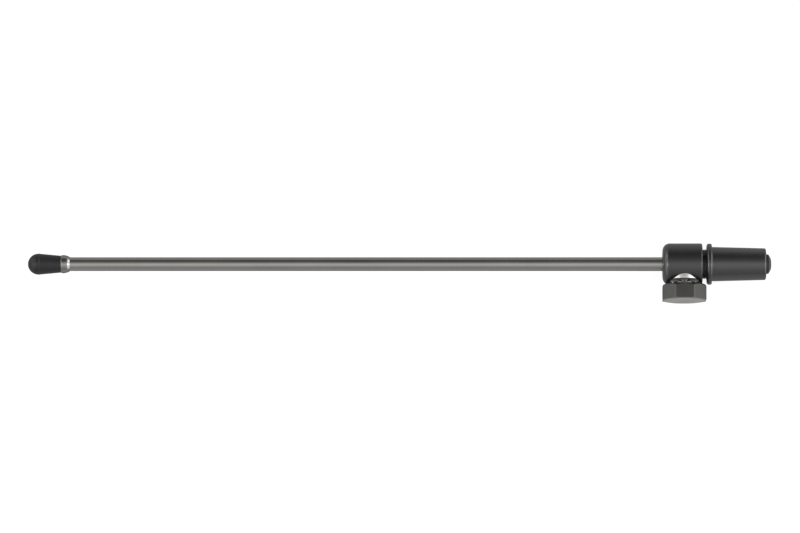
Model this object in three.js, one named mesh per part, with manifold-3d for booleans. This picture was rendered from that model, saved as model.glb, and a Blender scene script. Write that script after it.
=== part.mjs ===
// Height-adjustable cello endpin: a steel rod that slides and turns in a tapered plug, clamped by a thumb
// screw, with a sharp floor spike under a rubber tip.
//
// Millimetres. +X runs along the rod towards the plug's inner end, and X = 0 is the face of the flange that
// seats against the cello. The thumb screw points along -Y, and +Z is up with the endpin on its side.

import * as THREE from "three";
import { mergeVertices } from "three/addons/utils/BufferGeometryUtils.js";
import Module from "manifold-3d";

// ---- Driving dimensions -------------------------------------------------------------------------------

const GAP = 0.05; // between two pieces that touch or are pressed together
const EDGE = 0.3; // chamfer on turned edges
const FINE = 36; // sides of the large turned pieces
const PLAIN = 24; // sides of the small turned pieces

// Rod
const ROD_R = 5;
const ROD_BORE_R = 3.8; // drilled at the floor end for the spike holder
const ROD_GUIDE_R = 5.15; // bore of the bushes that the rod runs in

// Plug
const FLANGE_R = 15;
const FLANGE_THICK = 3.7;
const FLANGE_SEAT_ROUND = 1;
const FLANGE_FRONT_ROUND = 1.5;
const CONE_BASE_R = 12.5;
const CONE_END_R = 11.6;
const CONE_LENGTH = 39.6;
const CONE_LAND = 2.4; // parallel length beside the flange
const CONE_ROOT_ROUND = 0.5;
const CONE_END_ROUND = 1.4;

// Collar
const COLLAR_R = 15.15;
const COLLAR_FRONT_X = -36;
const COLLAR_BACK_X = -6.9;
const COLLAR_FRONT_ROUND = 5;
const COLLAR_BACK_ROUND = 1.2;
const COLLAR_FACE_DOME = 0.15;
const COLLAR_MOUTH_R = 5.6;
const COLLAR_LIP = 1.4; // thickness of the wall in front of the seal ring
const NECK_R = 10.95; // neck between collar and plug, assumed to be threaded
const NECK_END_X = 6;
const NECK_CHAMFER = 0.6;
const SOCKET_CLEARANCE = 0.3; // between the neck's thread and its socket

// Guides inside collar and plug
const LINING_R = 7.05; // bore through collar and plug
const SLEEVE_START_X = -13.4;
const SLEEVE_BORE_R = 5.95;
const FRONT_BUSH_START_X = -32.8;
const FRONT_BUSH_END_X = -27.2;
const REAR_BUSH_START_X = 29.5;
const SEAL_X = -33.7;
const SEAL_R = 6.15;
const SEAL_CORD_R = 0.85;

// Clamp screw, measured outwards from the rod's axis
const SCREW_X = -20;
const POCKET_R = 12.6;
const POCKET_FLOOR = 8.4;
const BOSS_R = 12.3;
const BOSS_TOP = 12.2;
const BOSS_ROUND_DEEP = 1.3; // its outer edge is rounded, deeper than wide
const BOSS_ROUND_WIDE = 0.9;
const BOSS_SHANK_R = 6.2;
const BOSS_SHANK_END = 5.6;
const PAD_R = 4.4;
const PAD_TOP = 7;
const PAD_EDGE = 4.2;
const PAD_ROOM = 0.2; // round the pad in its bore
const PAD_HOLLOW_R = 2.4; // where the stud's nose turns
const PAD_HOLLOW_FLOOR = 5.7;
const PAD_HOLLOW_ROOF = 6.4;
const PAD_NECK_R = 1.7;
const PAD_STROKE = 1.875; // one and a half turns of the M8 x 1.25 thread
const STUD_R = 3.95;
const STUD_BORE_R = 4.1;
const STUD_CHAMFER = 0.5;
const STUD_TOP = 23.6;
const NOSE_HEAD_R = 2.1;
const NOSE_NECK_R = 1.5;
const KNOB_HUB_R = 8.2;
const KNOB_HUB_BASE = 13.4;
const KNOB_BASE = 15.4;
const KNOB_TOP = 27.6;
const KNOB_FLATS = 31.8;
const KNOB_SIDES = 8;
const KNOB_CHAMFER_IN = 0.55; // how far the chamfer cuts in from the flats
const KNOB_CROWN_R = 9.7; // flat middle of the outer face
const KNOB_CROWN_SLOPE = 0.128;

// Floor end
const TIP_END_X = -499.1;
const TIP_DOME_R = 7.65;
const TIP_MOUTH_X = -475.25;
const TIP_MOUTH_R = 6.2;
const FERRULE_FRONT_X = -475.1;
const FERRULE_BACK_X = -468.5;
const FERRULE_R = 6.7;
const SPIKE_R = 1.5;
const SPIKE_END_X = -490.6;
const SPIKE_POINT_LENGTH = 5;
const SPIKE_SOCKET_X = -469;
const HOLDER_END_X = -452;
const NOSE_R = 3.6; // the holder's nose, which the rubber grips
const NOSE_END_X = -481.5;
const NOSE_END_R = 2.4;
const NOSE_TAPER = 1.6;

// Bright ring's outline, as [distance from its front, radius]
const FERRULE_OUTLINE = [
  [0, 5.9],
  [0.5, 6.45],
  [1.2, 6.62],
  [2.2, FERRULE_R],
  [3.4, 6.55],
  [4.8, 6.15],
  [5.9, 5.55],
];
const FERRULE_WALL = 0.55; // in front of the rod's end

// Inner end
const WASHER_R = 7.3;
const WASHER_THICK = 0.7;
const DAMPER_R = 7.1;
const DAMPER_THICK = 0.75;
const STOP_R = 7.1;
const STOP_END_X = 43.4;
const STOP_FLAT_R = 2.9;
const STOP_RIM = 0.1;
const STOP_DOME_POWER = 1.35; // 1 is a cone, 2 a round dome
const STOP_THREAD_R = 2.45;
const STOP_THREAD_X = 26;
const STOP_SOCKET_R = 2.31; // corners of a 4 mm hexagon
const STOP_SOCKET_DEPTH = 1.6;
const TAPPED_R = 2.55;

// ---- Shape helpers ------------------------------------------------------------------------------------

const manifold = await Module();
manifold.setup();

// A quarter round, or any arc, as [axial, radius] points about the centre (a, r). Angles are in degrees from
// the axial direction.
function arc(a, r, radius, from, to, steps = 3) {
  return Array.from({ length: steps + 1 }, (_, i) => {
    const angle = THREE.MathUtils.degToRad(from + ((to - from) * i) / steps);
    return [a + radius * Math.cos(angle), r + radius * Math.sin(angle)];
  });
}

// A solid of revolution about +Y. The outline is a list of [axial, radius] points. It goes up the outside
// and comes back down the bore, or starts and ends on the axis.
function revolve(outline, sides) {
  const points = outline.map(([axial, radius]) => new THREE.Vector2(radius, axial));
  const onAxis = outline[0][1] === 0 && outline.at(-1)[1] === 0;
  if (!onAxis) points.push(points[0].clone());
  return new THREE.LatheGeometry(points, sides);
}

// The same solid about the rod's axis, +X.
const alongRod = (outline, sides = FINE) => revolve(outline, sides).rotateZ(-Math.PI / 2);

// The same solid about the clamp screw's axis: its axial direction points along -Y, away from the rod.
const alongScrew = (outline, sides = PLAIN) =>
  revolve(outline, sides).rotateX(Math.PI).translate(SCREW_X, 0, 0);

// A plain tube as an outline, from axial a to b.
const tube = (a, b, inner, outer, chamfer = 0) => [
  [a, outer - chamfer],
  [a + chamfer, outer],
  [b - chamfer, outer],
  [b, outer - chamfer],
  [b, inner],
  [a, inner],
];

// A plain disc or rod as an outline, from axial a to b.
const bar = (a, b, radius) => [
  [a, 0],
  [a, radius],
  [b, radius],
  [b, 0],
];

function toSolid(geometry) {
  const bare = geometry.clone();
  bare.deleteAttribute("normal");
  bare.deleteAttribute("uv");
  const merged = mergeVertices(bare, 1e-4);
  return new manifold.Manifold(
    new manifold.Mesh({
      numProp: 3,
      vertProperties: merged.attributes.position.array,
      triVerts: new Uint32Array(merged.index.array),
    }),
  );
}

function toGeometry(solid) {
  const mesh = solid.getMesh();
  const geometry = new THREE.BufferGeometry();
  geometry.setAttribute("position", new THREE.BufferAttribute(mesh.vertProperties, 3));
  geometry.setIndex(new THREE.BufferAttribute(mesh.triVerts, 1));
  geometry.computeVertexNormals();
  return geometry;
}

// ---- Housing: the plug, the collar and what they hold -------------------------------------------------

// The plug that wedges into the cello: threaded socket, flange and taper, bored through for the sleeve.
function taperCone() {
  const front = -FLANGE_THICK;
  const socketR = NECK_R + SOCKET_CLEARANCE;
  const socketEnd = NECK_END_X + 0.5;
  return alongRod([
    [front, socketR + NECK_CHAMFER],
    ...arc(front + FLANGE_FRONT_ROUND, FLANGE_R - FLANGE_FRONT_ROUND, FLANGE_FRONT_ROUND, 180, 90, 4),
    ...arc(-FLANGE_SEAT_ROUND, FLANGE_R - FLANGE_SEAT_ROUND, FLANGE_SEAT_ROUND, 90, 0),
    ...arc(CONE_ROOT_ROUND, CONE_BASE_R + CONE_ROOT_ROUND, CONE_ROOT_ROUND, 180, 270, 2),
    [CONE_LAND, CONE_BASE_R],
    ...arc(CONE_LENGTH - CONE_END_ROUND, CONE_END_R - CONE_END_ROUND, CONE_END_ROUND, 90, 0),
    [CONE_LENGTH, LINING_R],
    [socketEnd, LINING_R],
    [socketEnd, socketR],
    [front + NECK_CHAMFER, socketR],
  ]);
}

// The collar: round body with the spot-faced seat for the clamp screw, and the threaded neck that joins it to
// the plug. The tail wire lies in the groove between the collar's back face and the flange.
function clampCollar() {
  const frontR = COLLAR_R - COLLAR_FRONT_ROUND;
  const backR = COLLAR_R - COLLAR_BACK_ROUND;
  const body = alongRod([
    [COLLAR_FRONT_X, COLLAR_MOUTH_R],
    [COLLAR_FRONT_X + COLLAR_FACE_DOME, frontR],
    ...arc(COLLAR_FRONT_X + COLLAR_FRONT_ROUND, frontR, COLLAR_FRONT_ROUND, 170, 90, 5),
    ...arc(COLLAR_BACK_X - COLLAR_BACK_ROUND, backR, COLLAR_BACK_ROUND, 90, 0),
    [COLLAR_BACK_X, NECK_R],
    [NECK_END_X - NECK_CHAMFER, NECK_R],
    [NECK_END_X, NECK_R - NECK_CHAMFER],
    [NECK_END_X, LINING_R],
    [COLLAR_FRONT_X + COLLAR_LIP, LINING_R],
    [COLLAR_FRONT_X + COLLAR_LIP, COLLAR_MOUTH_R],
  ]);
  const pocket = alongScrew(bar(POCKET_FLOOR, COLLAR_R + 2, POCKET_R), FINE);
  const seat = alongScrew(bar(2, POCKET_FLOOR + 1, BOSS_SHANK_R + GAP));
  return toGeometry(toSolid(body).subtract(toSolid(pocket)).subtract(toSolid(seat)));
}

// The threaded boss that fills the collar's spot-faced seat: it carries the clamp screw and guides the
// pressure pad.
function screwBoss() {
  const shoulder = POCKET_FLOOR + GAP;
  const padRoomR = PAD_R + PAD_ROOM;
  const padRoomTop = PAD_TOP + PAD_STROKE + GAP;
  const edge = arc(0, 0, 1, 90, 0, 5).map(([deep, wide]) => [
    BOSS_TOP + BOSS_ROUND_DEEP * (deep - 1),
    BOSS_R + BOSS_ROUND_WIDE * (wide - 1),
  ]);
  return alongScrew([
    [BOSS_SHANK_END, BOSS_SHANK_R - EDGE],
    [BOSS_SHANK_END + EDGE, BOSS_SHANK_R],
    [shoulder, BOSS_SHANK_R],
    [shoulder, BOSS_R],
    ...edge,
    [BOSS_TOP, STUD_BORE_R + STUD_CHAMFER],
    [BOSS_TOP - STUD_CHAMFER, STUD_BORE_R],
    [padRoomTop, STUD_BORE_R],
    [padRoomTop, padRoomR],
    [BOSS_SHANK_END, padRoomR],
  ]);
}

// Metal lining that carries the rod through the neck and the plug.
const guideSleeve = () =>
  alongRod(tube(SLEEVE_START_X, CONE_LENGTH - GAP, SLEEVE_BORE_R, LINING_R - GAP, EDGE));

// Low-friction bushes at the two ends of the housing.
const frontBush = () =>
  alongRod(tube(FRONT_BUSH_START_X, FRONT_BUSH_END_X, ROD_GUIDE_R, LINING_R - GAP, EDGE));
const rearBush = () =>
  alongRod(tube(REAR_BUSH_START_X, CONE_LENGTH - GAP, ROD_GUIDE_R, SLEEVE_BORE_R - GAP, EDGE));

// Round seal ring behind the collar's front wall: it stops the rod rattling.
const rodSealRing = () => alongRod(arc(SEAL_X, SEAL_R, SEAL_CORD_R, 0, 330, 11).reverse(), PLAIN);

// ---- Clamp screw --------------------------------------------------------------------------------------

// The pad that presses on the rod: its face is hollowed to the rod's radius, and the stud's nose turns in it.
function pressurePad() {
  const disc = alongScrew([
    [PAD_EDGE, 0],
    [PAD_EDGE, PAD_R],
    [PAD_TOP - EDGE, PAD_R],
    [PAD_TOP, PAD_R - EDGE],
    [PAD_TOP, PAD_NECK_R],
    [PAD_HOLLOW_ROOF, PAD_NECK_R],
    [PAD_HOLLOW_ROOF, PAD_HOLLOW_R],
    [PAD_HOLLOW_FLOOR, PAD_HOLLOW_R],
    [PAD_HOLLOW_FLOOR, 0],
  ]);
  const hollowR = ROD_R + 1.6 * GAP;
  const rod = alongRod(bar(SCREW_X - 2 * PAD_R, SCREW_X + 2 * PAD_R, hollowR), 64);
  return toGeometry(toSolid(disc).subtract(toSolid(rod)));
}

// The threaded stud. Its riveted nose turns in the pad and draws it back.
function screwStud() {
  const noseEnd = PAD_HOLLOW_FLOOR + 2 * GAP;
  const noseTop = PAD_HOLLOW_ROOF - 3 * GAP;
  const shankStart = PAD_TOP + 2 * GAP;
  return alongScrew([
    [noseEnd, 0],
    [noseEnd, NOSE_HEAD_R],
    [noseTop, NOSE_HEAD_R],
    [noseTop, NOSE_NECK_R],
    [shankStart, NOSE_NECK_R],
    [shankStart, STUD_R - STUD_CHAMFER],
    [shankStart + STUD_CHAMFER, STUD_R],
    [STUD_TOP, STUD_R],
    [STUD_TOP, 0],
  ]);
}

// The octagonal knob: turned hub, steep chamfer towards the collar and a shallow crown outside.
function thumbKnob() {
  const flat = KNOB_FLATS / 2;
  const corner = flat / Math.cos(Math.PI / KNOB_SIDES);
  const past = corner + 1;
  const chamferR = flat - KNOB_CHAMFER_IN;
  const boreR = STUD_R + GAP;
  const boreStart = KNOB_HUB_BASE + EDGE;
  const boreEnd = STUD_TOP + 2 * GAP;
  const turned = alongScrew(
    [
      [KNOB_HUB_BASE, boreR + EDGE],
      [KNOB_HUB_BASE, KNOB_HUB_R - EDGE],
      [KNOB_HUB_BASE + EDGE, KNOB_HUB_R],
      [KNOB_BASE, KNOB_HUB_R],
      [KNOB_BASE, chamferR],
      [KNOB_BASE + past - chamferR, past],
      [KNOB_TOP - KNOB_CROWN_SLOPE * (past - KNOB_CROWN_R), past],
      [KNOB_TOP, KNOB_CROWN_R],
      [KNOB_TOP, 0],
      [boreEnd, 0],
      [boreEnd, boreR],
      [boreStart, boreR],
    ],
    60,
  );
  const prism = new THREE.CylinderGeometry(corner, corner, 30, KNOB_SIDES)
    .rotateY(Math.PI / KNOB_SIDES)
    .translate(SCREW_X, -20, 0);
  return toGeometry(toSolid(turned).intersect(toSolid(prism)));
}

// ---- Rod and its ends ---------------------------------------------------------------------------------

// Solid rod, drilled for the spike holder and tapped for the stop screw.
function steelRod() {
  const start = FERRULE_FRONT_X + FERRULE_WALL + GAP;
  const end = CONE_LENGTH - GAP;
  const boreEnd = HOLDER_END_X + GAP;
  const tappedEnd = STOP_THREAD_X - GAP;
  return alongRod([
    [boreEnd, 0],
    [boreEnd, ROD_BORE_R],
    [start, ROD_BORE_R],
    [start, ROD_R - EDGE],
    [start + EDGE, ROD_R],
    [end - EDGE, ROD_R],
    [end, ROD_R - EDGE],
    [end, TAPPED_R],
    [tappedEnd, TAPPED_R],
    [tappedEnd, 0],
  ]);
}

// Bright ring at the floor end of the rod, with a small bevel facing the rubber tip.
function tipFerrule() {
  const front = FERRULE_FRONT_X;
  const outside = FERRULE_OUTLINE.map(([distance, radius]) => [front + distance, radius]);
  return alongRod([
    ...outside,
    [FERRULE_BACK_X, ROD_R + 5 * GAP],
    [FERRULE_BACK_X, ROD_R + GAP],
    [front + FERRULE_WALL, ROD_R + GAP],
    [front + FERRULE_WALL, ROD_BORE_R + 2 * GAP],
    [front, ROD_BORE_R + 2 * GAP],
  ]);
}

// Steel insert in the rod's floor end. Its nose holds the spike and the rubber tip.
function spikeHolder() {
  const socketR = SPIKE_R + GAP;
  const shoulder = FERRULE_FRONT_X + EDGE;
  return alongRod(
    [
      [NOSE_END_X, NOSE_END_R],
      [NOSE_END_X + NOSE_TAPER, NOSE_R],
      [shoulder, NOSE_R],
      [shoulder, ROD_BORE_R - GAP],
      [HOLDER_END_X, ROD_BORE_R - GAP],
      [HOLDER_END_X, 0],
      [SPIKE_SOCKET_X, 0],
      [SPIKE_SOCKET_X, socketR],
      [NOSE_END_X, socketR],
    ],
    PLAIN,
  );
}

const spikePoint = () =>
  alongRod(
    [
      [SPIKE_END_X, 0],
      [SPIKE_END_X + 0.15, 0.2],
      [SPIKE_END_X + SPIKE_POINT_LENGTH, SPIKE_R],
      [SPIKE_SOCKET_X - 2 * GAP, SPIKE_R],
      [SPIKE_SOCKET_X - 2 * GAP, 0],
    ],
    PLAIN,
  );

// Rubber tip: a dome on a taper, hollow where it grips the insert's nose, with a fine moulding line.
function rubberTip() {
  const domeX = TIP_END_X + TIP_DOME_R;
  const lineX = domeX + 0.6;
  const lineHeight = 0.25;
  const gripR = NOSE_R + 0.12;
  const spikeRoomR = SPIKE_R + 0.15;
  return alongRod([
    [TIP_END_X, 0],
    ...arc(domeX, 0, TIP_DOME_R, 170, 90, 7),
    [lineX - lineHeight, TIP_DOME_R],
    [lineX, TIP_DOME_R + lineHeight],
    [lineX + lineHeight, TIP_DOME_R],
    [TIP_MOUTH_X - EDGE, TIP_MOUTH_R],
    [TIP_MOUTH_X, TIP_MOUTH_R - EDGE],
    [TIP_MOUTH_X, gripR],
    [NOSE_END_X + 1, gripR],
    [NOSE_END_X - 0.6, NOSE_END_R],
    [NOSE_END_X - 0.6, spikeRoomR],
    [SPIKE_END_X - 0.8, spikeRoomR],
    [SPIKE_END_X - 0.8, 0],
  ]);
}

// Washer and soft washer that meet the plug's end when the rod is fully out.
const washerX = CONE_LENGTH + 0.15;
const damperX = washerX + WASHER_THICK + GAP;
const stopHeadX = damperX + DAMPER_THICK + GAP;
const washerBoreR = STOP_THREAD_R + 0.2;
const stopWasher = () => alongRod(tube(washerX, washerX + WASHER_THICK, washerBoreR, WASHER_R, 0.15));
const stopDamper = () => alongRod(tube(damperX, damperX + DAMPER_THICK, washerBoreR, DAMPER_R, 0.1));

// Low domed screw with a hexagon socket: the stop on the rod's inner end.
function stopScrew() {
  const rise = STOP_END_X - stopHeadX - STOP_RIM;
  const dome = [1, 0.85, 0.7, 0.5, 0.3, 0.12, 0].map((part) => [
    STOP_END_X - rise * part ** STOP_DOME_POWER,
    STOP_FLAT_R + (STOP_R - STOP_FLAT_R) * part,
  ]);
  const body = alongRod([
    [STOP_THREAD_X, 0],
    [STOP_THREAD_X, STOP_THREAD_R - EDGE],
    [STOP_THREAD_X + EDGE, STOP_THREAD_R],
    [stopHeadX, STOP_THREAD_R],
    [stopHeadX, STOP_R - STOP_RIM],
    ...dome,
    [STOP_END_X, 0],
  ]);
  const socket = new THREE.CylinderGeometry(STOP_SOCKET_R, STOP_SOCKET_R, 2 * STOP_SOCKET_DEPTH, 6)
    .rotateZ(-Math.PI / 2)
    .translate(STOP_END_X, 0, 0);
  return toGeometry(toSolid(body).subtract(toSolid(socket)));
}

// ---- Assembly -----------------------------------------------------------------------------------------

const looks = {
  blackMetal: { color: 0x2a2a2b, roughness: 0.38, metalness: 0.6 },
  satinSteel: { color: 0x8d8983, roughness: 0.3, metalness: 1 },
  knobSteel: { color: 0x6f6d69, roughness: 0.4, metalness: 1 },
  brightNickel: { color: 0xd5d2cc, roughness: 0.15, metalness: 1 },
  spikeSteel: { color: 0x9a9894, roughness: 0.3, metalness: 1 },
  brass: { color: 0xb08d45, roughness: 0.4, metalness: 1 },
  rubber: { color: 0x1f1f20, roughness: 0.75, metalness: 0 },
  nylon: { color: 0xd9d6cc, roughness: 0.55, metalness: 0 },
  blackScrew: { color: 0x242425, roughness: 0.45, metalness: 0.7 },
};

function piece(name, geometry, look) {
  const mesh = new THREE.Mesh(geometry, new THREE.MeshStandardMaterial(looks[look]));
  mesh.name = name;
  return mesh;
}

const housing = new THREE.Group().add(
  piece("taper_cone", taperCone(), "blackMetal"),
  piece("clamp_collar", clampCollar(), "blackMetal"),
  piece("guide_sleeve", guideSleeve(), "brass"),
  piece("front_guide_bush", frontBush(), "nylon"),
  piece("rear_guide_bush", rearBush(), "nylon"),
  piece("rod_seal_ring", rodSealRing(), "rubber"),
  piece("screw_boss", screwBoss(), "brightNickel"),
);

const clampScrew = new THREE.Group().add(
  piece("pressure_pad", pressurePad(), "brass"),
  piece("thumb_screw_stud", screwStud(), "spikeSteel"),
  piece("thumb_knob", thumbKnob(), "knobSteel"),
);

const rod = new THREE.Group().add(
  piece("steel_rod", steelRod(), "satinSteel"),
  piece("tip_ferrule", tipFerrule(), "brightNickel"),
  piece("spike_holder", spikeHolder(), "spikeSteel"),
  piece("spike_point", spikePoint(), "spikeSteel"),
  piece("rubber_tip", rubberTip(), "rubber"),
  piece("stop_washer", stopWasher(), "blackScrew"),
  piece("stop_damper", stopDamper(), "rubber"),
  piece("stop_screw", stopScrew(), "blackScrew"),
);

export default new THREE.Group().add(housing, clampScrew, rod);
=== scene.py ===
import math

import bmesh
import bpy
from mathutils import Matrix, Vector


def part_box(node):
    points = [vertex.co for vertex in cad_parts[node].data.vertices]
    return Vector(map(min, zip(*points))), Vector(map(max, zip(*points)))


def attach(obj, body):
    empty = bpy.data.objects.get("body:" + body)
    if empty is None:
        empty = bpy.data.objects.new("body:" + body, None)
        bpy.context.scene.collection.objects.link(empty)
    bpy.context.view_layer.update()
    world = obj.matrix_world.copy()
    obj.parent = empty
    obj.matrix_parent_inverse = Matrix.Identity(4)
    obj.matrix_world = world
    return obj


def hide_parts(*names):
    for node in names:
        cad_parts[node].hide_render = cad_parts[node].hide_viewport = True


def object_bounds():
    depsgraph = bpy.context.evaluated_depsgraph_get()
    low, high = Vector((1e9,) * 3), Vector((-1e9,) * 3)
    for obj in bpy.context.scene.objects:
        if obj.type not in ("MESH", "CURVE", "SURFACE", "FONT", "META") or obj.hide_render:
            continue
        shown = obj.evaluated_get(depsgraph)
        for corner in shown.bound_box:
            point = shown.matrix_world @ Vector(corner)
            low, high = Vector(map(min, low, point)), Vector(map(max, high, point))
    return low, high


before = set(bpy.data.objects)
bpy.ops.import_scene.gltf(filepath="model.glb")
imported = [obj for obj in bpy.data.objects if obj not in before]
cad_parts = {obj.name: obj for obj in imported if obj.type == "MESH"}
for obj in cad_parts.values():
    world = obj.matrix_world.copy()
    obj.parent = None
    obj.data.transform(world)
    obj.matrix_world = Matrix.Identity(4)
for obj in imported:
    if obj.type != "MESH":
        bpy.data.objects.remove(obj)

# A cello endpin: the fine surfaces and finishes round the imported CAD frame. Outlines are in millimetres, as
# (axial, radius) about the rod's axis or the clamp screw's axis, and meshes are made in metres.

CAD_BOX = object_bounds()
MM = 0.001
TAU = 2 * math.pi


# ---- Sizes, from the frame ----------------------------------------------------------------------------

def box_mm(node):
    """A CAD node's lowest and highest corners in millimetres."""
    low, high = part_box(node)
    return low / MM, high / MM


CONE_LOW, CONE_HIGH = box_mm("taper_cone")
COLLAR_LOW, COLLAR_HIGH = box_mm("clamp_collar")
SLEEVE_LOW, SLEEVE_HIGH = box_mm("guide_sleeve")
FRONT_BUSH_LOW, FRONT_BUSH_HIGH = box_mm("front_guide_bush")
REAR_BUSH_LOW, REAR_BUSH_HIGH = box_mm("rear_guide_bush")
SEAL_LOW, SEAL_HIGH = box_mm("rod_seal_ring")
BOSS_LOW, BOSS_HIGH = box_mm("screw_boss")
STUD_LOW, STUD_HIGH = box_mm("thumb_screw_stud")
KNOB_LOW, KNOB_HIGH = box_mm("thumb_knob")
ROD_LOW, ROD_HIGH = box_mm("steel_rod")
FERRULE_LOW, FERRULE_HIGH = box_mm("tip_ferrule")
HOLDER_LOW, HOLDER_HIGH = box_mm("spike_holder")
SPIKE_LOW, SPIKE_HIGH = box_mm("spike_point")
TIP_LOW, TIP_HIGH = box_mm("rubber_tip")
WASHER_LOW, WASHER_HIGH = box_mm("stop_washer")
DAMPER_LOW, DAMPER_HIGH = box_mm("stop_damper")
STOP_LOW, STOP_HIGH = box_mm("stop_screw")

SCREW_X = (KNOB_LOW.x + KNOB_HIGH.x) / 2
ROD_R = ROD_HIGH.z
ROD_BORE_R = 3.8
GUIDE_R = 5.15
LINING_R = SLEEVE_HIGH.z + 0.05
COLLAR_R = COLLAR_HIGH.z
COLLAR_BACK_X = -6.9
NECK_R = 10.95
THREAD_PITCH = 1.0  # assumed: too fine to be read from the photo
FLANGE_R = CONE_HIGH.z
POCKET_R = 12.6
POCKET_FLOOR = 8.4
KNOB_FLAT_R = KNOB_HIGH.z
KNOB_TOP = -KNOB_LOW.y
KNOB_INNER_FACE = 15.4
NOSE_TAPER = 1.6  # length of the cone on the spike insert's nose, and of the rubber tip's room for it
NOSE_R = 2.4
WASHER_BORE_R = 2.65


# ---- Camera -------------------------------------------------------------------------------------------

PICTURE_WIDTH = 0.584  # metres across the picture at the rod
CAMERA_DISTANCE = 6.0
CAMERA_ELEVATION = math.radians(81.5)
PICTURE_CENTRE_X = -0.2275
AXIS_ABOVE_CENTRE = 0.0017


def make_camera():
    data = bpy.data.cameras.new("camera")
    data.sensor_width = 36
    data.lens = data.sensor_width * CAMERA_DISTANCE / PICTURE_WIDTH
    data.clip_start = 0.1
    data.clip_end = 50
    camera = bpy.data.objects.new("camera", data)
    back = Vector((0, -math.cos(CAMERA_ELEVATION), math.sin(CAMERA_ELEVATION)))
    up = Vector((0, math.sin(CAMERA_ELEVATION), math.cos(CAMERA_ELEVATION)))
    centre = Vector((PICTURE_CENTRE_X, 0, 0)) - up * AXIS_ABOVE_CENTRE
    camera.location = centre + back * CAMERA_DISTANCE
    camera.rotation_mode = "QUATERNION"
    camera.rotation_quaternion = (-back).to_track_quat("-Z", "Y")
    bpy.context.scene.collection.objects.link(camera)
    bpy.context.scene.camera = camera


make_camera()


# ---- Materials ----------------------------------------------------------------------------------------

class Nodes:
    """Makes shader nodes in one node tree and joins them."""

    def __init__(self, tree):
        self.tree = tree

    def node(self, kind, **settings):
        made = self.tree.nodes.new(kind)
        for key, value in settings.items():
            setattr(made, key, value)
        return made

    def feed(self, socket, value):
        if isinstance(value, bpy.types.NodeSocket):
            self.tree.links.new(value, socket)
        else:
            socket.default_value = value

    def math(self, operation, a, b=0.0):
        made = self.node("ShaderNodeMath", operation=operation)
        self.feed(made.inputs[0], a)
        self.feed(made.inputs[1], b)
        return made.outputs[0]

    def remap(self, value, low, high, out_low, out_high, fade="LINEAR"):
        made = self.node("ShaderNodeMapRange", interpolation_type=fade)
        self.feed(made.inputs["Value"], value)
        for socket, number in (
            ("From Min", low),
            ("From Max", high),
            ("To Min", out_low),
            ("To Max", out_high),
        ):
            made.inputs[socket].default_value = number
        return made.outputs["Result"]


class Look(Nodes):
    """A procedural material: one Principled shader, fed by textures in the shared frame's coordinates."""

    def __init__(self, name, **sockets):
        self.material = bpy.data.materials.new(name)
        self.material.use_nodes = True
        super().__init__(self.material.node_tree)
        self.shader = self.tree.nodes["Principled BSDF"]
        self.place = self.node("ShaderNodeTexCoord").outputs["Object"]
        self.normal = None
        for socket, value in sockets.items():
            self.shader.inputs[socket.replace("_", " ")].default_value = value

    def stretch(self, per_metre, centre=(0, 0, 0)):
        """Coordinates about a centre, with so many texture features to a metre along each axis."""
        moved = self.node("ShaderNodeVectorMath", operation="SUBTRACT")
        self.feed(moved.inputs[0], self.place)
        moved.inputs[1].default_value = centre
        scaled = self.node("ShaderNodeVectorMath", operation="MULTIPLY")
        self.feed(scaled.inputs[0], moved.outputs[0])
        scaled.inputs[1].default_value = per_metre
        return scaled.outputs[0]

    def noise(self, per_metre, detail):
        made = self.node("ShaderNodeTexNoise")
        self.feed(made.inputs["Vector"], self.stretch(per_metre))
        made.inputs["Scale"].default_value = 1.0
        made.inputs["Detail"].default_value = detail
        made.inputs["Roughness"].default_value = 0.55
        return made.outputs["Fac"]

    def radial(self, centre):
        """Distance in metres from an axis along Y through the centre."""
        flat = self.stretch((1, 0, 1), centre)
        made = self.node("ShaderNodeVectorMath", operation="LENGTH")
        self.feed(made.inputs[0], flat)
        return made.outputs["Value"]

    def lines(self, value, per_metre, detail=2.0):
        """Fine irregular lines wherever value changes, so many to a metre."""
        made = self.node("ShaderNodeTexNoise", noise_dimensions="1D")
        self.feed(made.inputs["W"], self.math("MULTIPLY", value, per_metre))
        made.inputs["Scale"].default_value = 1.0
        made.inputs["Detail"].default_value = detail
        return made.outputs["Fac"]

    def axis(self, name):
        made = self.node("ShaderNodeSeparateXYZ")
        self.feed(made.inputs[0], self.place)
        return made.outputs[name]

    def edges(self, low, high):
        """From 0 on plain surfaces to 1 on convex edges."""
        return self.remap(self.node("ShaderNodeNewGeometry").outputs["Pointiness"], low, high, 0, 1)

    def colour(self, factor, first, second):
        made = self.node("ShaderNodeMix", data_type="RGBA")
        self.feed(made.inputs["Factor"], factor)
        self.feed(made.inputs["A"], first if isinstance(first, bpy.types.NodeSocket) else (*first, 1))
        self.feed(made.inputs["B"], (*second, 1))
        self.feed(self.shader.inputs["Base Color"], made.outputs["Result"])
        return made.outputs["Result"]

    def roughness(self, value):
        self.feed(self.shader.inputs["Roughness"], value)

    def bump(self, height, depth):
        """Relief from a texture, its full height in metres. Each call adds to the ones before."""
        made = self.node("ShaderNodeBump")
        made.inputs["Distance"].default_value = depth
        self.feed(made.inputs["Height"], height)
        if self.normal is not None:
            self.feed(made.inputs["Normal"], self.normal)
        self.normal = made.outputs["Normal"]
        self.feed(self.shader.inputs["Normal"], self.normal)


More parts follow.
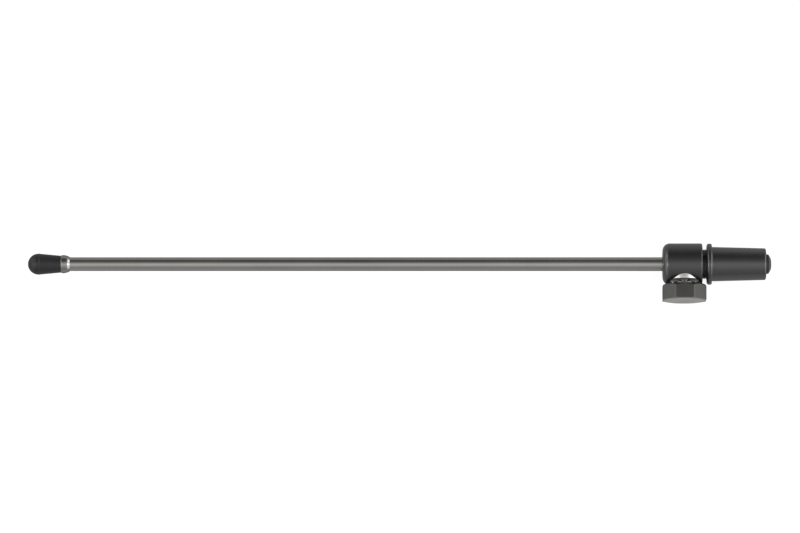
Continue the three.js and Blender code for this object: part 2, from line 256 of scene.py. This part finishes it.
def black_metal(name, ior):
    """Satin black anodised metal: even fine grain, faint turning lines, edges rubbed a little lighter."""
    look = Look(name, Metallic=0.0, IOR=ior, Specular_IOR_Level=0.95)
    grain = look.noise((3000, 3000, 3000), detail=2)
    cloud = look.noise((90, 90, 90), detail=4)
    turning = look.lines(look.axis("X"), 9000)
    tone = look.colour(cloud, (0.0135, 0.0135, 0.014), (0.0185, 0.0185, 0.0187))
    look.colour(look.edges(0.56, 0.68), tone, (0.05, 0.05, 0.05))
    even_sheen = look.remap(cloud, 0.3, 0.7, 0.19, 0.25)
    look.roughness(look.math("ADD", even_sheen, look.remap(grain, 0, 1, -0.02, 0.03)))
    look.bump(turning, 0.000002)
    look.bump(grain, 0.000004)
    return look.material


def satin_steel():
    """Drawn and polished steel: streaks along the rod, fine rings left by the clamp's rubbing."""
    look = Look("satin_steel", Metallic=1.0, Specular_Tint=(0.3, 0.3, 0.3, 1))
    drawn = look.noise((18, 5200, 5200), detail=4)
    stain = look.noise((25, 120, 120), detail=3)
    rings = look.lines(look.axis("X"), 3500, 3)
    look.colour(stain, (0.46, 0.45, 0.42), (0.55, 0.54, 0.51))
    streaks = look.remap(drawn, 0.3, 0.7, 0.16, 0.25)
    look.roughness(look.math("ADD", streaks, look.remap(stain, 0.3, 0.7, -0.02, 0.03)))
    look.bump(drawn, 0.000004)
    look.bump(rings, 0.000002)
    return look.material


def knob_steel():
    """Satin plate: the end face painted light, the face by the collar painted duller, dark flats with fine
    cross lines, lighter edges.
    """
    look = Look("knob_steel", Metallic=1.0)
    out = look.math("MULTIPLY", look.axis("Y"), -1 / MM)
    # painted reflection: the end face is painted much lighter, standing in for the pale floor it reflects
    painted_reflection_outer_face = look.remap(out, KNOB_TOP - 0.95, KNOB_TOP - 0.55, 0, 1)
    # painted light: the face towards the collar is painted lighter, standing in for light in the shaded gap
    # by the collar
    painted_light_inner_face = look.remap(out, KNOB_INNER_FACE + 0.5, KNOB_INNER_FACE + 0.1, 0, 1)
    centre = (SCREW_X * MM, 0, 0)
    cloud = look.noise((160, 160, 160), detail=4)
    rings = look.lines(look.radial(centre), 5200)
    across = look.lines(look.axis("Y"), 6500, 3)
    tone = look.colour(cloud, (0.115, 0.112, 0.106), (0.148, 0.145, 0.138))
    # painted light on the face towards the collar
    tone = look.colour(painted_light_inner_face, tone, (0.27, 0.267, 0.26))
    # painted reflection of the floor on the end face
    tone = look.colour(painted_reflection_outer_face, tone, (0.64, 0.635, 0.62))
    look.colour(look.edges(0.52, 0.62), tone, (0.42, 0.41, 0.39))
    handled = look.remap(cloud, 0.3, 0.7, 0.27, 0.36)
    look.roughness(look.math("ADD", handled, look.remap(across, 0.2, 0.8, -0.03, 0.04)))
    look.bump(rings, 0.000012)
    look.bump(across, 0.000008)
    return look.material


def bright_nickel():
    look = Look("bright_nickel", Metallic=1.0, Specular_Tint=(0.4, 0.4, 0.4, 1))
    cloud = look.noise((240, 240, 240), detail=4)
    marks = look.noise((4000, 700, 4000), detail=2)
    look.colour(cloud, (0.38, 0.375, 0.355), (0.45, 0.445, 0.425))
    look.roughness(look.remap(marks, 0.3, 0.75, 0.1, 0.2))
    look.bump(marks, 0.000003)
    return look.material


def satin_nickel():
    """The boss's plate: rougher than the ring's, so that it is bright from every side."""
    look = Look("satin_nickel", Metallic=1.0)
    cloud = look.noise((300, 300, 300), detail=4)
    rings = look.lines(look.radial((SCREW_X * MM, 0, 0)), 6000)
    look.colour(cloud, (0.72, 0.715, 0.695), (0.8, 0.795, 0.775))
    look.roughness(look.remap(rings, 0.25, 0.75, 0.3, 0.42))
    look.bump(rings, 0.000004)
    return look.material


def turned_steel(name, dark, light, rough):
    look = Look(name, Metallic=1.0)
    cloud = look.noise((300, 300, 300), detail=4)
    rings = look.lines(look.axis("X"), 7000, 3)
    look.colour(cloud, dark, light)
    look.roughness(look.remap(rings, 0.25, 0.75, rough - 0.05, rough + 0.07))
    look.bump(rings, 0.000005)
    return look.material


def black_oxide():
    look = Look("black_oxide", Metallic=0.0, IOR=1.6, Specular_IOR_Level=0.95)
    cloud = look.noise((500, 500, 500), detail=4)
    grain = look.noise((5000, 5000, 5000), detail=2)
    tone = look.colour(cloud, (0.026, 0.026, 0.027), (0.045, 0.045, 0.046))
    # painted highlight: convex edges, the domed head's bright rim among them, are painted lighter
    look.colour(look.edges(0.53, 0.62), tone, (0.1, 0.1, 0.098))
    look.roughness(look.remap(cloud, 0.3, 0.7, 0.26, 0.38))
    look.bump(grain, 0.000006)
    return look.material


def brass():
    look = Look("turned_brass", Metallic=1.0)
    cloud = look.noise((200, 200, 200), detail=4)
    rings = look.lines(look.axis("X"), 5000, 3)
    look.colour(cloud, (0.62, 0.44, 0.2), (0.72, 0.55, 0.28))
    look.roughness(look.remap(rings, 0.25, 0.75, 0.25, 0.38))
    look.bump(rings, 0.000006)
    return look.material


def rubber():
    """Moulded rubber: matt, with a fine eggshell surface and a little pale bloom."""
    look = Look("moulded_rubber", Metallic=0.0, IOR=1.5, Specular_IOR_Level=0.5)
    cloud = look.noise((220, 220, 220), detail=5)
    grain = look.noise((2600, 2600, 2600), detail=3)
    tone = look.colour(cloud, (0.014, 0.014, 0.015), (0.022, 0.022, 0.022))
    look.colour(look.edges(0.53, 0.66), tone, (0.05, 0.05, 0.05))
    look.roughness(look.remap(grain, 0.3, 0.7, 0.34, 0.48))
    look.bump(grain, 0.00001)
    look.bump(cloud, 0.00004)
    return look.material


def nylon():
    look = Look("natural_nylon", Metallic=0.0, IOR=1.53)
    cloud = look.noise((400, 400, 400), detail=4)
    look.colour(cloud, (0.72, 0.7, 0.63), (0.8, 0.78, 0.71))
    look.roughness(look.remap(cloud, 0.3, 0.7, 0.4, 0.5))
    look.bump(cloud, 0.00001)
    return look.material


# slot in the record -> material
LOOKS = {
    "black_metal": black_metal("black_anodised", 1.6),
    "satin_steel": satin_steel(),
    "knob_steel": knob_steel(),
    "bright_nickel": bright_nickel(),
    "satin_nickel": satin_nickel(),
    "plain_steel": turned_steel("turned_steel", (0.42, 0.415, 0.4), (0.52, 0.515, 0.5), 0.28),
    "black_steel": black_oxide(),
    "brass": brass(),
    "rubber": rubber(),
    "nylon": nylon(),
}


# ---- Mesh making --------------------------------------------------------------------------------------

NEAR_AXIS = 0.3  # millimetres. An outline that starts and ends closer than this is open


def about_rod(axial, radius, angle):
    """A point in metres, from millimetres about the rod's axis."""
    return Vector((axial, -radius * math.sin(angle), radius * math.cos(angle))) * MM


def about_screw(axial, radius, angle):
    """The same about the clamp screw's axis, with axial measured outwards from the rod's axis."""
    return Vector((SCREW_X + radius * math.sin(angle), -axial, radius * math.cos(angle))) * MM


def rounded(corners, degrees=7.5):
    """An outline with its corners rounded. Each corner is (axial, radius, round). The outline is taken as
    closed, so in an open one the first and last corners need a round of 0."""
    points = []
    for i, (axial, radius, fillet) in enumerate(corners):
        corner = Vector((axial, radius))
        before = Vector(corners[i - 1][:2]) - corner
        after = Vector(corners[(i + 1) % len(corners)][:2]) - corner
        if fillet <= 0:
            points.append((axial, radius))
            continue
        half = before.angle(after) / 2
        reach = min(fillet / math.tan(half), 0.98 * before.length, 0.98 * after.length)
        radius_made = reach * math.tan(half)
        inwards = (before.normalized() + after.normalized()).normalized()
        centre = corner + inwards * radius_made / math.sin(half)
        start = corner + before.normalized() * reach - centre
        end = corner + after.normalized() * reach - centre
        turn = math.atan2(start.x * end.y - start.y * end.x, start.dot(end))
        steps = max(2, math.ceil(math.degrees(abs(turn)) / degrees))
        for k in range(steps + 1):
            c, s = math.cos(turn * k / steps), math.sin(turn * k / steps)
            points.append((centre.x + c * start.x - s * start.y, centre.y + s * start.x + c * start.y))
    return points


def dome(centre, radius, first, last, steps=20):
    """Part of a circle about (centre, 0), with angles in degrees from the axial direction."""
    angles = [math.radians(first + (last - first) * k / steps) for k in range(steps + 1)]
    return [(centre + radius * math.cos(a), radius * math.sin(a)) for a in angles]


def even(first, last, step):
    """Axial places from first to last, a step or less apart."""
    count = max(1, math.ceil(abs(last - first) / step))
    return [first + (last - first) * k / count for k in range(count + 1)]


def filled(outline, step):
    """The same open outline with more points along its straight parts, a step or less apart."""
    points = []
    for (a, r), (next_a, next_r) in zip(outline, outline[1:]):
        count = max(1, math.ceil(math.hypot(next_a - a, next_r - r) / step))
        points += [(a + (next_a - a) * k / count, r + (next_r - r) * k / count) for k in range(count)]
    return points + outline[-1:]


def skin(name, rings, looped):
    """A closed mesh from rings of points. The last ring joins the first, or both ends close on a point."""
    mesh = bpy.data.meshes.new(name)
    bm = bmesh.new()
    made = [[bm.verts.new(p) for p in ring] for ring in rings]
    pairs = list(zip(made, made[1:] + (made[:1] if looped else [])))
    for a, b in pairs:
        for i in range(len(a)):
            j = (i + 1) % len(a)
            bm.faces.new((a[i], a[j], b[j], b[i]))
    if not looped:
        for ring in (made[0], made[-1]):
            hub = bm.verts.new(sum((v.co for v in ring), Vector()) / len(ring))
            for i in range(len(ring)):
                bm.faces.new((ring[i], ring[(i + 1) % len(ring)], hub))
    bmesh.ops.recalc_face_normals(bm, faces=bm.faces)
    bm.to_mesh(mesh)
    bm.free()
    piece = bpy.data.objects.new(name, mesh)
    bpy.context.scene.collection.objects.link(piece)
    return piece


def turned(name, outline, place=about_rod, sides=160, surface=None):
    """A turned piece. Its outline closes on itself, or starts and ends close to the axis.
    surface(axial, radius, angle) can change the radius, as a screw thread does."""
    angles = [TAU * k / sides for k in range(sides)]
    looped = min(outline[0][1], outline[-1][1]) > NEAR_AXIS
    rings = [
        [place(a, surface(a, r, t) if surface else r, t) for t in angles]
        for a, r in outline
    ]
    return skin(name, rings, looped)


def smooth(piece, degrees=32):
    piece.data.shade_smooth()
    piece.data.set_sharp_from_angle(angle=math.radians(degrees))
    return piece


def cut(piece, cutters):
    """Cuts closed meshes out of a piece."""
    for cutter in cutters:
        modifier = piece.modifiers.new("cut", "BOOLEAN")
        modifier.operation = "DIFFERENCE"
        modifier.solver = "EXACT"
        modifier.object = cutter
    graph = bpy.context.evaluated_depsgraph_get()
    mesh = bpy.data.meshes.new_from_object(piece.evaluated_get(graph))
    piece.modifiers.clear()
    piece.data = mesh
    for cutter in cutters:
        bpy.data.objects.remove(cutter)
    return piece


def fit(piece, body, slot, node, look=None):
    """Gives a piece its finish and its body, and hides the CAD node that it stands for."""
    piece.data.materials.clear()
    piece.data.materials.append(look or LOOKS[slot])
    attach(piece, body)
    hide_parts(node)


def tube(low, high, bore, radius, break_edge=0.25):
    """Outline of a plain tube between two axial places, with its edges broken."""
    return rounded([
        (low, radius, break_edge),
        (high, radius, break_edge),
        (high, bore, break_edge / 2),
        (low, bore, break_edge / 2),
    ])


def thread(crest, depth, pitch, start, end):
    """A surface for turned(): a screw thread between two axial places, fading over half a turn."""
    half_flat, flank_width = 0.06, 0.34  # of the crest and of one flank, as shares of the pitch
    crest_slack = 0.02

    def radius_at(axial, radius, angle):
        if radius < crest - crest_slack or not start <= axial <= end:
            return radius
        phase = (axial / pitch - angle / TAU) % 1.0
        flank = min(1.0, max(0.0, (abs(phase - 0.5) - half_flat) / flank_width))
        fade = min(1.0, (axial - start) / (pitch / 2), (end - axial) / (pitch / 2))
        return crest - depth * fade * (1 - math.cos(math.pi * flank)) / 2

    return radius_at


# ---- Housing ------------------------------------------------------------------------------------------

def make_cone():
    front, back = CONE_LOW.x, CONE_HIGH.x
    base_r, end_r, land = 12.5, 11.6, 2.4
    socket_r, socket_end = 11.25, 6.5
    outline = rounded([
        (front, FLANGE_R, 1.55),
        (0.0, FLANGE_R, 1.05),
        (0.0, base_r, 0.55),
        (land, base_r, 3.0),
        (back, end_r, 1.4),
        (back, LINING_R, 0.3),
        (socket_end, LINING_R, 0),
        (socket_end, socket_r, 0),
        (front, socket_r, 0.5),
    ])
    piece = smooth(turned("taper_plug", outline, sides=224))
    fit(piece, "housing", "black_metal", "taper_cone", look=black_metal("plug_anodised", 1.68))


def make_collar():
    front = COLLAR_LOW.x
    mouth_r, lip = 5.6, 1.4
    seal_x = front + lip
    neck_end = COLLAR_HIGH.x
    thread_depth, thread_end = 0.62, -3.1
    relief = 10.3
    body = rounded([
        (front, mouth_r, 0.4),
        (front + 0.3, COLLAR_R, 5.2),
        (COLLAR_BACK_X, COLLAR_R, 1.2),
        (COLLAR_BACK_X, relief, 0.15),
        (COLLAR_BACK_X + 0.45, relief, 0),
    ], degrees=5)
    neck_surface = [(x, NECK_R) for x in even(COLLAR_BACK_X + 0.5, thread_end, 0.09)]
    inside = rounded([
        (neck_end, NECK_R - 0.3, 0.3),
        (neck_end, LINING_R, 0),
        (seal_x, LINING_R, 0),
        (seal_x, mouth_r, 0),
    ])
    outline = filled(body, 0.45) + neck_surface + inside
    neck = thread(NECK_R, thread_depth, THREAD_PITCH, COLLAR_BACK_X + 0.1, thread_end)
    piece = turned("collar", outline, sides=288, surface=neck)
    pocket = turned(
        "pocket",
        rounded([
            (POCKET_FLOOR, 0.1, 0),
            (POCKET_FLOOR, POCKET_R, 0.35),
            (COLLAR_R + 3, POCKET_R, 0),
            (COLLAR_R + 3, 0.1, 0),
        ]),
        about_screw,
        sides=200,
    )
    seat_start, seat_end, seat_r = 2.0, POCKET_FLOOR + 1, 6.25
    seat_outline = [(seat_start, 0.1), (seat_start, seat_r), (seat_end, seat_r), (seat_end, 0.1)]
    seat = turned("seat", seat_outline, about_screw)
    smooth(cut(piece, [pocket, seat]), 28)
    fit(piece, "housing", "black_metal", "clamp_collar")


def make_boss():
    low, top = -BOSS_HIGH.y, -BOSS_LOW.y
    radius = BOSS_HIGH.x - SCREW_X
    shoulder, shank_r, pad_room, pad_bore, bore = POCKET_FLOOR + 0.05, 6.2, 8.925, 4.6, 4.1
    deep, wide, steps = 1.3, 0.9, 16
    quarter = [math.pi / 2 * k / steps for k in range(steps + 1)]
    edge = [(top - deep * (1 - math.sin(t)), radius - wide * (1 - math.cos(t))) for t in quarter]
    outline = (
        [(low, shank_r - 0.3), (low + 0.3, shank_r), (shoulder, shank_r), (shoulder, radius)]
        + edge
        + rounded([
            (top, bore + 0.4, 0.12),  # known fault: rounded from the last corner, so the top face dips
            (top - 0.5, bore, 0),
            (pad_room, bore, 0),
            (pad_room, pad_bore, 0),
            (low, pad_bore, 0),
        ])
    )
    fit(smooth(turned("boss", outline, about_screw)), "housing", "satin_nickel", "screw_boss")


def make_lining():
    sleeve_bore, ring_steps = 5.95, 24
    sleeve = turned("sleeve", tube(SLEEVE_LOW.x, SLEEVE_HIGH.x, sleeve_bore, SLEEVE_HIGH.z))
    fit(smooth(sleeve), "housing", "brass", "guide_sleeve")
    bush = turned("front_bush", tube(FRONT_BUSH_LOW.x, FRONT_BUSH_HIGH.x, GUIDE_R, FRONT_BUSH_HIGH.z))
    fit(smooth(bush), "housing", "nylon", "front_guide_bush")
    bush = turned("rear_bush", tube(REAR_BUSH_LOW.x, REAR_BUSH_HIGH.x, GUIDE_R, REAR_BUSH_HIGH.z))
    fit(smooth(bush), "housing", "nylon", "rear_guide_bush")
    middle = (SEAL_LOW.x + SEAL_HIGH.x) / 2
    thick = (SEAL_HIGH.x - SEAL_LOW.x) / 2
    centre_r = SEAL_HIGH.z - thick
    turns = [TAU * k / ring_steps for k in range(ring_steps)]
    ring = [(middle + thick * math.cos(t), centre_r + thick * math.sin(t)) for t in turns]
    fit(smooth(turned("seal_ring", ring)), "housing", "rubber", "rod_seal_ring")


# ---- Clamp screw --------------------------------------------------------------------------------------

def make_stud():
    """The threaded stud with the riveted nose that turns in the pad."""
    low, high, radius = -STUD_HIGH.y, -STUD_LOW.y, STUD_HIGH.x - SCREW_X
    shoulder, thread_end = 7.1, 14.6
    thread_depth, thread_pitch = 0.6, 1.25
    rivet_r, rivet_neck_r, rivet_end = 2.1, 1.5, low + 0.45
    outline = (
        rounded([
            (low, 0.1, 0),
            (low, rivet_r, 0.12),
            (rivet_end, rivet_r, 0.12),
            (rivet_end, rivet_neck_r, 0),
            (shoulder, rivet_neck_r, 0.1),
            (shoulder, radius, 0.5),  # known fault: rounded towards the first corner, so the root folds in
        ])
        + [(h, radius) for h in even(shoulder + 0.6, thread_end, 0.08)]
        + [(high, radius), (high, 0.1)]
    )
    coil = thread(radius, thread_depth, thread_pitch, shoulder + 0.55, thread_end)
    piece = smooth(turned("clamp_stud", outline, about_screw, 96, coil), 50)
    fit(piece, "thumb_screw", "plain_steel", "thumb_screw_stud")


def polygon(flat, sides, corner):
    """Angles round a regular polygon with rounded corners, close together at the corners, and a function
    that gives the polygon's radius at an angle. One flat faces angle 0."""
    flat_steps, corner_steps = 14, 6
    half = math.pi / sides
    bend = math.atan((flat - corner) * math.tan(half) / flat)
    angles = []
    for side in range(sides):
        middle = TAU * side / sides
        angles += [middle - bend + 2 * bend * k / flat_steps for k in range(flat_steps)]
        angles += [middle + bend + 2 * (half - bend) * k / corner_steps for k in range(corner_steps)]

    def radius_at(angle):
        off = (angle + half) % (2 * half) - half
        if abs(off) <= bend:
            return flat / math.cos(off)
        centre = (flat - corner) / math.cos(half)
        delta = half - abs(off)
        return centre * math.cos(delta) + math.sqrt(max(0, corner**2 - (centre * math.sin(delta)) ** 2))

    return angles, radius_at


def make_knob():
    """Octagonal knob: hub, flat inner face, steep chamfer, eight flats, shallow turned crown."""
    hub_base, base, hub_r, bore = -KNOB_HIGH.y, KNOB_INNER_FACE, 8.2, 4.0
    chamfer_r = KNOB_FLAT_R - 0.55
    crown_r, crown_slope = 9.7, 0.128
    bore_end = KNOB_TOP - 3.7
    angles, flat_r = polygon(KNOB_FLAT_R, 8, 0.55)

    def circle(axial, radius):
        return [about_screw(axial, radius, t) for t in angles]

    def inner_edge(inset, drop):
        return [about_screw(base + flat_r(t) - chamfer_r + drop, flat_r(t) - inset, t) for t in angles]

    def outer_edge(inset, drop):
        return [
            about_screw(KNOB_TOP - crown_slope * (flat_r(t) - crown_r) - drop, flat_r(t) - inset, t)
            for t in angles
        ]

    turned_in = rounded([
        (bore_end, 0.1, 0),
        (bore_end, bore, 0),
        (hub_base, bore, 0.3),
        (hub_base, hub_r, 0.35),
        (base, hub_r, 0.3),
        (base, chamfer_r, 0.12),
        (base + 0.3, chamfer_r + 0.3, 0),
    ])
    turned_out = rounded([
        (KNOB_TOP - crown_slope * 4, crown_r + 4, 0),
        (KNOB_TOP, crown_r, 1.2),
        (KNOB_TOP, 0.1, 0),
    ])
    rings = [circle(a, r) for a, r in turned_in]
    rings += [inner_edge(0.14, -0.14), inner_edge(0.04, 0.02), inner_edge(0, 0.16), inner_edge(0, 0.5)]
    rings += [outer_edge(0, 0.6), outer_edge(0, 0.2), outer_edge(0.05, 0.06), outer_edge(0.2, -0.025)]
    rings += [circle(a, r) for a, r in turned_out]
    piece = smooth(skin("knob", rings, False), 30)
    fit(piece, "thumb_screw", "knob_steel", "thumb_knob")


# ---- Rod and its ends ---------------------------------------------------------------------------------

def make_rod():
    bore_end, tapped_end, tapped_r = -451.95, 25.95, 2.55
    outline = rounded([
        (bore_end, 0.1, 0),
        (bore_end, ROD_BORE_R, 0),
        (ROD_LOW.x, ROD_BORE_R, 0.15),
        (ROD_LOW.x, ROD_R, 0.3),
        (ROD_HIGH.x, ROD_R, 0.3),
        (ROD_HIGH.x, tapped_r, 0.15),
        (tapped_end, tapped_r, 0),
        (tapped_end, 0.1, 0),
    ])
    fit(smooth(turned("rod", outline, sides=192)), "rod", "satin_steel", "steel_rod")


def make_ferrule():
    front, back, top = FERRULE_LOW.x, FERRULE_HIGH.x, FERRULE_HIGH.z
    outline = rounded([
        (front, 6.05, 0.2),
        (front + 0.5, 6.5, 0.25),
        (front + 2.3, top + 0.02, 4.0),
        (front + 4.9, 6.1, 2.0),
        (back, 5.25, 0.15),
        (back, ROD_R + 0.05, 0.05),
        (front + 0.55, ROD_R + 0.05, 0),
        (front + 0.55, 3.9, 0),
        (front, 3.9, 0.1),
    ])
    fit(smooth(turned("end_ring", outline)), "rod", "bright_nickel", "tip_ferrule")


def make_spike():
    nose, back = HOLDER_LOW.x, HOLDER_HIGH.x
    shoulder, plug_r = FERRULE_LOW.x + 0.3, 3.6
    socket_r, socket_end = 1.55, -469.0
    outline = rounded([
        (socket_end, 0.1, 0),
        (socket_end, socket_r, 0),
        (nose, socket_r, 0.1),
        (nose, NOSE_R, 0.2),
        (nose + NOSE_TAPER, plug_r, 0.5),
        (shoulder, plug_r, 0),
        (shoulder, HOLDER_HIGH.z, 0.1),
        (back, HOLDER_HIGH.z, 0.3),
        (back, 0.1, 0),
    ])
    piece = turned("spike_insert", outline)
    fit(smooth(piece), "rod", "plain_steel", "spike_holder")
    point = rounded([
        (SPIKE_LOW.x, 0.02, 0),
        (SPIKE_LOW.x + 0.12, 0.18, 0.1),
        (SPIKE_LOW.x + 5, SPIKE_HIGH.z, 3.0),
        (SPIKE_HIGH.x, SPIKE_HIGH.z, 0.2),
        (SPIKE_HIGH.x, 0.02, 0),
    ])
    fit(smooth(turned("spike", point, sides=96)), "rod", "plain_steel", "spike_point")


def make_rubber_tip():
    end, mouth, widest = TIP_LOW.x, TIP_HIGH.x, TIP_HIGH.z
    dome_r, mouth_r, ridge = 7.65, 6.2, widest - 7.65
    centre = end + dome_r
    line = centre + 0.6
    cavity_r, cavity_end, spike_r = 3.72, HOLDER_LOW.x - 0.6, 1.65
    spike_end = SPIKE_LOW.x - 0.8
    outline = (
        dome(centre, dome_r, 179.2, 90, 26)
        + rounded([
            (line - 0.3, dome_r, 0),
            (line - 0.09, dome_r + ridge * 0.75, 0.1),
            (line, dome_r + ridge, 0.12),
            (line + 0.09, dome_r + ridge * 0.75, 0.1),
            (line + 0.3, dome_r - 0.02, 0.1),
            (mouth, mouth_r, 0.35),
            (mouth, cavity_r, 0.3),
            (cavity_end + NOSE_TAPER, cavity_r, 0.4),
            (cavity_end, NOSE_R, 0.2),
            (cavity_end, spike_r, 0.1),
            (spike_end, spike_r, 0.3),
            (spike_end, 0.02, 0),
        ])
    )
    fit(smooth(turned("rubber_foot", outline, sides=192), 40), "tip", "rubber", "rubber_tip")


def make_end_stop():
    """Washer, soft washer and domed socket screw at the rod's inner end."""
    washer = tube(WASHER_LOW.x, WASHER_HIGH.x, WASHER_BORE_R, WASHER_HIGH.z, 0.15)
    fit(smooth(turned("end_washer", washer)), "stop_rings", "black_steel", "stop_washer")
    damper = tube(DAMPER_LOW.x, DAMPER_HIGH.x, WASHER_BORE_R, DAMPER_HIGH.z, 0.2)
    fit(smooth(turned("soft_washer", damper)), "stop_rings", "rubber", "stop_damper")

    head, end, head_r, flat_r, thread_r = DAMPER_HIGH.x + 0.05, STOP_HIGH.x, STOP_HIGH.z, 2.9, 2.45
    socket_depth = 1.7
    angles, socket_r = polygon(2.0, 6, 0.08)

    def circle(axial, radius):
        return [about_rod(axial, radius, t) for t in angles]

    def hexagon(axial, grow=0.0):
        return [about_rod(axial, socket_r(t) + grow, t) for t in angles]

    rim, dome_power = 0.1, 1.35
    rise = end - head - rim
    start = STOP_LOW.x
    shank = [(start, 0.1), (start, thread_r - 0.3), (start + 0.3, thread_r), (head, thread_r)]
    edge = [(head, head_r - 2), (head, head_r - rim)]
    steps = 16
    parts = [1 - k / steps for k in range(steps + 1)]
    crown = [(end - rise * part**dome_power, flat_r + (head_r - flat_r) * part) for part in parts]
    rings = [circle(a, r) for a, r in shank + edge + crown]
    rings += [hexagon(end, 0.14), hexagon(end - 0.12), hexagon(end - socket_depth)]
    rings += [circle(end - socket_depth - 0.01, 1.7), circle(end - socket_depth - 0.5, 0.1)]
    fit(smooth(skin("end_screw", rings, False), 30), "rod", "black_steel", "stop_screw")


def keep_cad(node, slot):
    """A CAD node whose plain shape is right: it is hidden inside, and only gets its finish."""
    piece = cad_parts[node]
    piece.data.materials.clear()
    piece.data.materials.append(LOOKS[slot])


make_cone()
make_collar()
make_boss()
make_lining()
make_stud()
make_knob()
make_rod()
make_ferrule()
make_spike()
make_rubber_tip()
make_end_stop()
keep_cad("pressure_pad", "brass")


# ---- Studio -------------------------------------------------------------------------------------------

FLOOR_SIZE = 14.0
FLOOR_GLOW = 0.18  # what reflections and bounced light see
FLOOR_GLOW_SEEN = 0.7  # added where the camera sees the floor
SOFTBOX_DISTANCE = 2.2

# name, direction on the right-hand side, size in metres, watts
SOFTBOXES = (
    ("softbox_", (0.67, -0.155, 0.727), 0.75, 4),
    ("small_softbox_", (0.67, 0.586, 0.457), 0.35, 0.8),
)


class Sky(Nodes):
    """The world as seen in reflections: a plain grey room with a bright overhead strip, one dark gap and
    two bright ends. The camera itself sees plain white."""

    def __init__(self):
        world = bpy.data.worlds.new("studio")
        world.use_nodes = True
        super().__init__(world.node_tree)
        self.tree.nodes.clear()
        bpy.context.scene.world = world
        split = self.node("ShaderNodeSeparateXYZ")
        self.feed(split.inputs[0], self.node("ShaderNodeTexCoord").outputs["Generated"])
        self.x, y, z = split.outputs
        self.lean = self.math("ARCTAN2", y, z)  # from straight up, towards +Y

    def ramp(self, levels):
        """Brightness by lean, from pairs of degrees and level."""
        made = self.node("ShaderNodeFloatCurve")
        turn = self.math("ADD", self.math("DIVIDE", self.lean, TAU), 0.5)
        self.feed(made.inputs["Value"], turn)
        curve = made.mapping.curves[0]
        for point, (degrees, level) in zip((curve.points[0], curve.points[1]), (levels[0], levels[-1])):
            point.location = (degrees / 360 + 0.5, level)
        for degrees, level in levels[1:-1]:
            curve.points.new(degrees / 360 + 0.5, level)
        for point in curve.points:
            point.handle_type = "VECTOR"
        made.mapping.update()
        return made.outputs["Value"]


# lean from straight up towards +Y, in degrees, and the sky's brightness there
SKY = [
    (-180, 0.33),
    (-90, 0.34),
    (-60, 0.45),
    (-48, 0.54),
    (-34, 0.7),
    (-20, 0.84),
    (-8, 0.86),
    (-2, 0.78),
    (4, 0.62),
    (11, 0.44),
    (19, 0.3),
    (29, 0.17),
    (47, 0.09),
    (61, 0.13),
    (76, 0.32),
    (95, 0.5),
    (180, 0.5),
]
END_LEVELS = (1.35, 2.0)  # far left and far right
END_FADE = (0.35, 0.8)  # a direction's share along X where an end begins, and where it is full


def make_world():
    sky = Sky()
    level = sky.ramp(SKY)
    for side, end in zip((-1, 1), END_LEVELS):
        share = sky.remap(sky.math("MULTIPLY", sky.x, side), *END_FADE, 0, 1, "SMOOTHSTEP")
        change = sky.math("MULTIPLY", share, sky.math("SUBTRACT", end, level))
        level = sky.math("ADD", level, change)
    seen = sky.node("ShaderNodeBackground")
    seen.inputs["Color"].default_value = (1, 1, 1, 1)
    lit = sky.node("ShaderNodeBackground")
    sky.feed(lit.inputs["Strength"], level)
    mix = sky.node("ShaderNodeMixShader")
    sky.feed(mix.inputs[0], sky.node("ShaderNodeLightPath").outputs["Is Camera Ray"])
    sky.feed(mix.inputs[1], lit.outputs[0])
    sky.feed(mix.inputs[2], seen.outputs[0])
    sky.feed(sky.node("ShaderNodeOutputWorld").inputs["Surface"], mix.outputs[0])


def make_floor():
    """Plain pale floor. It is lit from below, as a light table is, so that shadows on it stay faint."""
    half = FLOOR_SIZE / 2
    z = CAD_BOX[0].z
    x = PICTURE_CENTRE_X
    mesh = bpy.data.meshes.new("floor")
    corners = [(x - half, -half, z), (x + half, -half, z), (x + half, half, z), (x - half, half, z)]
    mesh.from_pydata(corners, [], [(0, 1, 2, 3)])
    floor = bpy.data.objects.new("floor", mesh)
    bpy.context.scene.collection.objects.link(floor)
    look = Look(
        "floor",
        Base_Color=(0.3, 0.3, 0.3, 1),
        Roughness=0.9,
        Specular_IOR_Level=0,
        Emission_Color=(1, 1, 1, 1),
    )
    seen = look.math("MULTIPLY", look.node("ShaderNodeLightPath").outputs["Is Camera Ray"], FLOOR_GLOW_SEEN)
    look.feed(look.shader.inputs["Emission Strength"], look.math("ADD", seen, FLOOR_GLOW))
    mesh.materials.append(look.material)


def make_softbox(name, direction, size, watts):
    data = bpy.data.lights.new(name, "AREA")
    data.shape = "SQUARE"
    data.size = size
    data.energy = watts
    light = bpy.data.objects.new(name, data)
    away = Vector(direction).normalized()
    light.location = Vector((PICTURE_CENTRE_X, 0, 0)) + away * SOFTBOX_DISTANCE
    light.rotation_mode = "QUATERNION"
    light.rotation_quaternion = away.to_track_quat("Z", "Y")
    light.visible_camera = False
    bpy.context.scene.collection.objects.link(light)


make_world()
make_floor()
for end, side in (("left", -1), ("right", 1)):
    for name, (x, y, z), size, watts in SOFTBOXES:
        make_softbox(name + end, (x * side, y, z), size, watts)
bpy.context.scene.view_settings.view_transform = "Standard"
bpy.context.scene.view_settings.look = "None"
